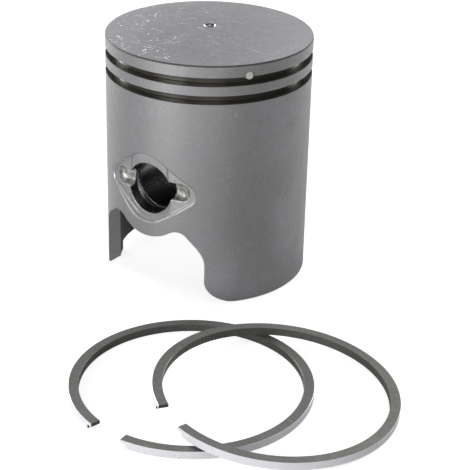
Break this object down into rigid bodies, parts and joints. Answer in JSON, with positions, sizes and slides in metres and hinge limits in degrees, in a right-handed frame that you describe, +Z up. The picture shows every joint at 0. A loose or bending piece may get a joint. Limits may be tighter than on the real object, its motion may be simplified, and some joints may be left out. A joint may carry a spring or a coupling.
{
  "type": "two-stroke piston with rings",
  "caption": "Two-stroke engine piston with ring grooves, cross bore and cut-away skirt, standing beside its loose split rings.",
  "frame": {"origin": "centre of the gudgeon pin bore, on the piston's axis", "axes": "+Z up the piston's axis to the crown, +Y along the gudgeon pin bore, +X towards the wider skirt leg with the ring pegs"},
  "size_m": [0.0833, 0.0833, 0.0497],
  "materials": {
    "cast_alloy": "satin turned outside with fine tool lines, dull as-cast inside and round the bores",
    "peg_steel": "bright ground steel with a dull end face",
    "ring_iron": "dark lapped sides with a bright ground running face"
  },
  "bodies": {
    "piston": {"piston_casting": "cast_alloy", "upper_ring_peg": "peg_steel", "lower_ring_peg": "peg_steel"},
    "flat_ring": {"piston_ring_flat": "ring_iron"},
    "leaning_ring": {"piston_ring_leaning": "ring_iron"}
  },
  "joints": [
    {"name": "flat_ring_lift", "type": "slide", "parent": "piston", "child": "flat_ring", "axis": [0, 0, 1], "range_m": [0, 0.06]},
    {"name": "leaning_ring_lift", "type": "slide", "parent": "flat_ring", "child": "leaning_ring", "axis": [0, 0, 1], "range_m": [0, 0.06]}
  ]
}
